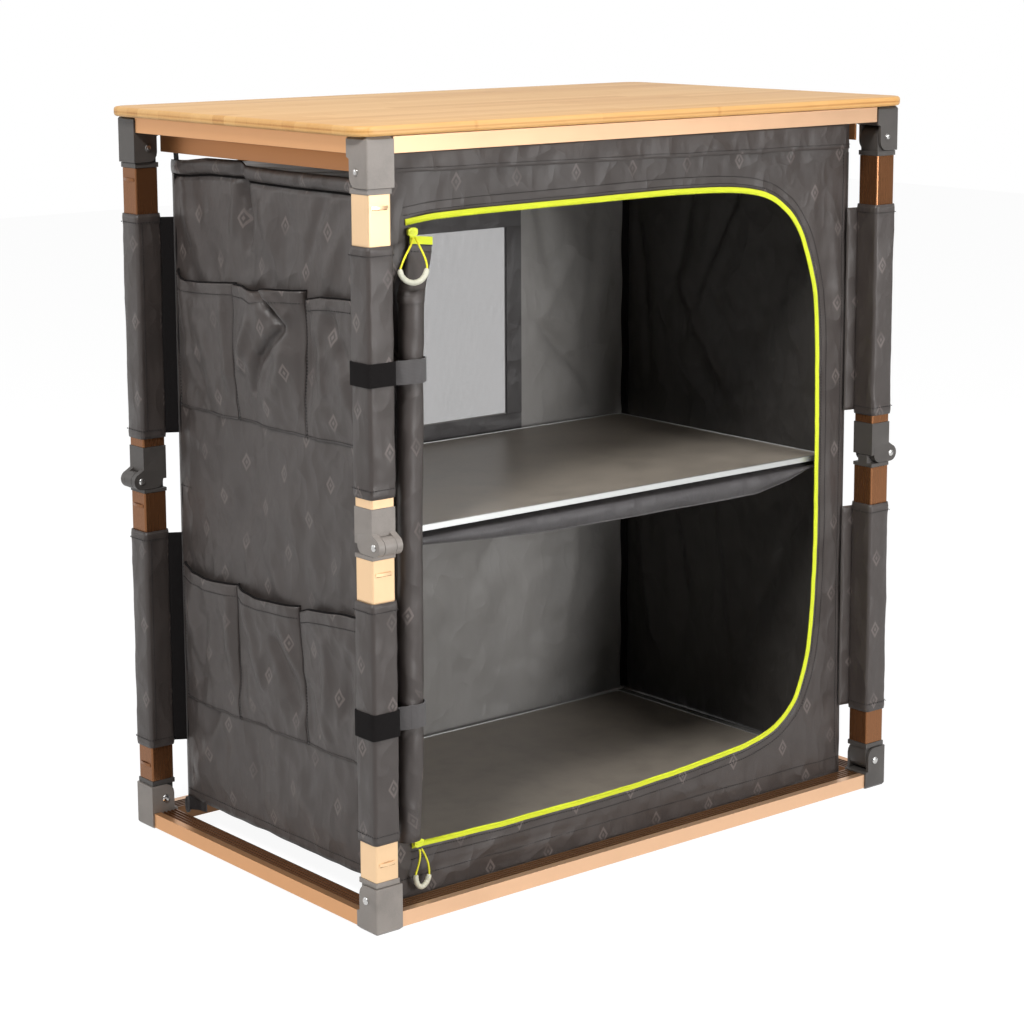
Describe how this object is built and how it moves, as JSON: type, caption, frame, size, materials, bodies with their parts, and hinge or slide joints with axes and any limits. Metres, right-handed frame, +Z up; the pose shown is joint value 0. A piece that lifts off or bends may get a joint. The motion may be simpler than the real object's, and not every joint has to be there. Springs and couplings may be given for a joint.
{
  "type": "camp kitchen unit",
  "caption": "Folding camp kitchen cupboard: bamboo top on a knee-folding aluminium frame, with a zipped fabric cabinet and shelves inside.",
  "frame": {"origin": "on the floor, under the middle of the tabletop", "axes": "+Z up, +X to the right along the front, -Y out of the cabinet's door"},
  "size_m": [0.722, 0.4454, 0.759],
  "materials": {
    "bamboo": "satin lacquered bamboo with fine straight grain",
    "bronze_aluminium": "anodised, satin",
    "grey_plastic": "moulded, fine texture",
    "dark_fabric": "coated polyester weave",
    "shelf_panel": "satin laminate",
    "lime_zip": "bright zip coil, tape and cord",
    "pale_grip": "translucent moulded grip"
  },
  "bodies": {
    "base": {"floor_board": "shelf_panel", "fabric_cabinet": "dark_fabric", "rolled_door": "dark_fabric", "base_rail_front": "bronze_aluminium", "base_rail_back": "bronze_aluminium", "base_rail_left": "bronze_aluminium", "base_rail_right": "bronze_aluminium", "base_bracket_front_left": "grey_plastic", "base_bracket_back_left": "grey_plastic", "base_bracket_back_right": "grey_plastic", "base_bracket_front_right": "grey_plastic"},
    "top_frame": {"tabletop": "bamboo", "top_rail_front": "bronze_aluminium", "top_rail_back": "bronze_aluminium", "top_rail_left": "bronze_aluminium", "top_rail_right": "bronze_aluminium", "top_bracket_front_left": "grey_plastic", "top_bracket_back_left": "grey_plastic", "top_bracket_back_right": "grey_plastic", "top_bracket_front_right": "grey_plastic"},
    "lower_leg_front_left": {"lower_plug_front_left": "grey_plastic", "lower_tube_front_left": "bronze_aluminium", "lower_knee_front_left": "grey_plastic", "lower_sleeve_front_left": "dark_fabric"},
    "upper_leg_front_left": {"upper_plug_front_left": "grey_plastic", "upper_tube_front_left": "bronze_aluminium", "upper_knee_front_left": "grey_plastic", "upper_sleeve_front_left": "dark_fabric"},
    "lower_leg_back_left": {"lower_plug_back_left": "grey_plastic", "lower_tube_back_left": "bronze_aluminium", "lower_knee_back_left": "grey_plastic", "lower_sleeve_back_left": "dark_fabric"},
    "upper_leg_back_left": {"upper_plug_back_left": "grey_plastic", "upper_tube_back_left": "bronze_aluminium", "upper_knee_back_left": "grey_plastic", "upper_sleeve_back_left": "dark_fabric"},
    "lower_leg_back_right": {"lower_plug_back_right": "grey_plastic", "lower_tube_back_right": "bronze_aluminium", "lower_knee_back_right": "grey_plastic", "lower_sleeve_back_right": "dark_fabric"},
    "upper_leg_back_right": {"upper_plug_back_right": "grey_plastic", "upper_tube_back_right": "bronze_aluminium", "upper_knee_back_right": "grey_plastic", "upper_sleeve_back_right": "dark_fabric"},
    "lower_leg_front_right": {"lower_plug_front_right": "grey_plastic", "lower_tube_front_right": "bronze_aluminium", "lower_knee_front_right": "grey_plastic", "lower_sleeve_front_right": "dark_fabric"},
    "upper_leg_front_right": {"upper_plug_front_right": "grey_plastic", "upper_tube_front_right": "bronze_aluminium", "upper_knee_front_right": "grey_plastic", "upper_sleeve_front_right": "dark_fabric"},
    "shelf": {"shelf_board": "shelf_panel"},
    "zip_tab": {"zip_end_tab": "lime_zip"},
    "upper_zip": {"upper_zip_slider": "lime_zip", "upper_pull_cord": "lime_zip", "upper_pull_grip": "pale_grip"},
    "lower_zip": {"lower_zip_slider": "lime_zip", "lower_pull_cord": "lime_zip", "lower_pull_grip": "pale_grip"}
  },
  "joints": [
    {"name": "fold", "type": "hinge", "parent": "base", "child": "lower_leg_front_left", "pos_m": [-0.3345, -0.1965, 0.031], "axis": [-1, 0, 0], "range_deg": [0, 90], "deforming": ["fabric_cabinet", "rolled_door", "upper_pull_cord", "upper_pull_grip"]},
    {"name": "knee_front_left", "type": "hinge", "parent": "lower_leg_front_left", "child": "upper_leg_front_left", "pos_m": [-0.3345, -0.21375, 0.374], "axis": [-1, 0, 0], "range_deg": [-180, 0]},
    {"name": "hip_back_left", "type": "hinge", "parent": "base", "child": "lower_leg_back_left", "pos_m": [-0.3335, 0.1975, 0.031], "axis": [0, 1, 0], "range_deg": [0, 90]},
    {"name": "knee_back_left", "type": "hinge", "parent": "lower_leg_back_left", "child": "upper_leg_back_left", "pos_m": [-0.35075, 0.1975, 0.374], "axis": [0, 1, 0], "range_deg": [-180, 0]},
    {"name": "hip_back_right", "type": "hinge", "parent": "base", "child": "lower_leg_back_right", "pos_m": [0.3345, 0.1965, 0.031], "axis": [1, 0, 0], "range_deg": [0, 90]},
    {"name": "knee_back_right", "type": "hinge", "parent": "lower_leg_back_right", "child": "upper_leg_back_right", "pos_m": [0.3345, 0.21375, 0.374], "axis": [1, 0, 0], "range_deg": [-180, 0]},
    {"name": "hip_front_right", "type": "hinge", "parent": "base", "child": "lower_leg_front_right", "pos_m": [0.3335, -0.1975, 0.031], "axis": [0, -1, 0], "range_deg": [0, 90]},
    {"name": "knee_front_right", "type": "hinge", "parent": "lower_leg_front_right", "child": "upper_leg_front_right", "pos_m": [0.35075, -0.1975, 0.374], "axis": [0, -1, 0], "range_deg": [-180, 0]},
    {"name": "top_pivot", "type": "hinge", "parent": "upper_leg_front_left", "child": "top_frame", "pos_m": [-0.3345, -0.1965, 0.717], "axis": [-1, 0, 0], "range_deg": [0, 90]},
    {"name": "shelf_drop", "type": "slide", "parent": "base", "child": "shelf", "axis": [0, 0, -1], "range_m": [0, 0.3291]},
    {"name": "zip_drop", "type": "slide", "parent": "base", "child": "zip_tab", "axis": [0, 0, -1], "range_m": [0, 0.5803]},
    {"name": "upper_zip_slide", "type": "slide", "parent": "zip_tab", "child": "upper_zip", "axis": [1, 0, 0], "range_m": [0, 0.22]},
    {"name": "lower_zip_slide", "type": "slide", "parent": "base", "child": "lower_zip", "axis": [1, 0, 0], "range_m": [0, 0.22]}
  ],
  "couplings": [
    {"joint": "knee_front_left", "follows": "fold", "ratio": -2},
    {"joint": "hip_back_left", "follows": "fold", "ratio": 1},
    {"joint": "knee_back_left", "follows": "fold", "ratio": -2},
    {"joint": "hip_back_right", "follows": "fold", "ratio": 1},
    {"joint": "knee_back_right", "follows": "fold", "ratio": -2},
    {"joint": "hip_front_right", "follows": "fold", "ratio": 1},
    {"joint": "knee_front_right", "follows": "fold", "ratio": -2},
    {"joint": "top_pivot", "follows": "fold", "ratio": 1},
    {"joint": "shelf_drop", "follows": "fold", "m_per_rad": 0.20945},
    {"joint": "zip_drop", "follows": "fold", "m_per_rad": 0.36937}
  ]
}
